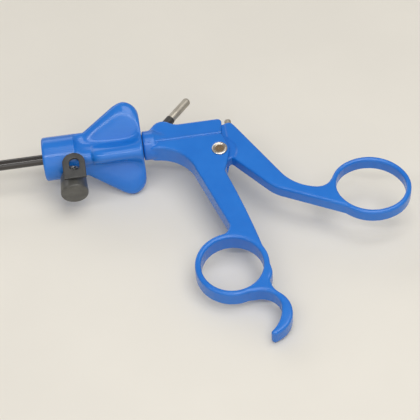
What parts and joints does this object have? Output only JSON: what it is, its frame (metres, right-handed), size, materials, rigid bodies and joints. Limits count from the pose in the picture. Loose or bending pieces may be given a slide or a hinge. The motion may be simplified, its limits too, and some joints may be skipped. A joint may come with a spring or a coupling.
{
  "type": "laparoscopic dissecting forceps",
  "caption": "Slim laparoscopic dissecting forceps with curved double-action jaws, a turning insulated shaft, a winged knob, an electrode pin and a ring handle.",
  "frame": {"origin": "On the shaft axis at the front face of the nose, where the insulated shaft enters the handle set.", "axes": "+X runs back along the shaft to the handle, so the jaws point to -X. -Y is the way the finger grip hangs. +Z is the side of the handle that faces the picture's camera."},
  "size_m": [0.5263, 0.1436, 0.0364],
  "materials": {
    "blue_plastic": "moulded blue plastic with a soft shine",
    "black_plastic": "black insulating plastic",
    "steel": "turned stainless steel",
    "jaw_steel": "satin stainless steel",
    "post_steel": "polished plug pin",
    "spring_brass": "bright spring strip",
    "seal_rubber": "black seal rubber",
    "cap_rubber": "dark grey cap rubber"
  },
  "bodies": {
    "handle": {"handle_body": "blue_plastic", "neck_bushing": "black_plastic", "pivot_rivet": "steel", "hf_post": "post_steel", "hf_insulator": "black_plastic", "hf_contact_spring": "spring_brass"},
    "lever": {"thumb_lever": "blue_plastic", "ball_retaining_screw": "steel"},
    "rotator": {"rotation_knob": "blue_plastic", "flush_housing": "steel", "hub_spindle": "steel", "spindle_clip": "steel", "tube_seal": "seal_rubber", "flush_port": "steel", "cap_tether": "cap_rubber", "shaft_tube": "steel", "shaft_insulation": "black_plastic", "jaw_clevis": "steel", "jaw_pin": "steel"},
    "rod": {"drive_rod": "steel", "rod_ball": "steel", "rod_tongue": "steel", "drive_pin": "steel"},
    "jaw_up": {"upper_jaw": "jaw_steel"},
    "jaw_down": {"lower_jaw": "jaw_steel"},
    "cap": {"flush_cap": "cap_rubber"}
  },
  "joints": [
    {"name": "lever_pivot", "type": "hinge", "parent": "handle", "child": "lever", "pos_m": [0.0841, -0.012, 0], "axis": [0, 0, -1], "range_deg": [0, 27]},
    {"name": "knob_turn", "type": "hinge", "parent": "handle", "child": "rotator", "pos_m": [0.0476, 0, 0], "axis": [1, 0, 0], "continuous": true},
    {"name": "rod_slide", "type": "slide", "parent": "rotator", "child": "rod", "axis": [1, 0, 0], "range_m": [0, 0.00611]},
    {"name": "jaw_up_pivot", "type": "hinge", "parent": "rotator", "child": "jaw_up", "pos_m": [-0.34, 0, 0], "axis": [0, 0, 1], "range_deg": [0, 22]},
    {"name": "jaw_down_pivot", "type": "hinge", "parent": "rotator", "child": "jaw_down", "pos_m": [-0.34, 0, 0], "axis": [0, 0, -1], "range_deg": [0, 22]},
    {"name": "cap_pull", "type": "slide", "parent": "rotator", "child": "cap", "axis": [0, -1, 0], "range_m": [0, 0.012]}
  ],
  "couplings": [
    {"joint": "rod_slide", "follows": "lever_pivot", "m_per_rad": 0.012975},
    {"joint": "jaw_up_pivot", "follows": "lever_pivot", "ratio": 0.81481},
    {"joint": "jaw_down_pivot", "follows": "lever_pivot", "ratio": 0.81481}
  ]
}
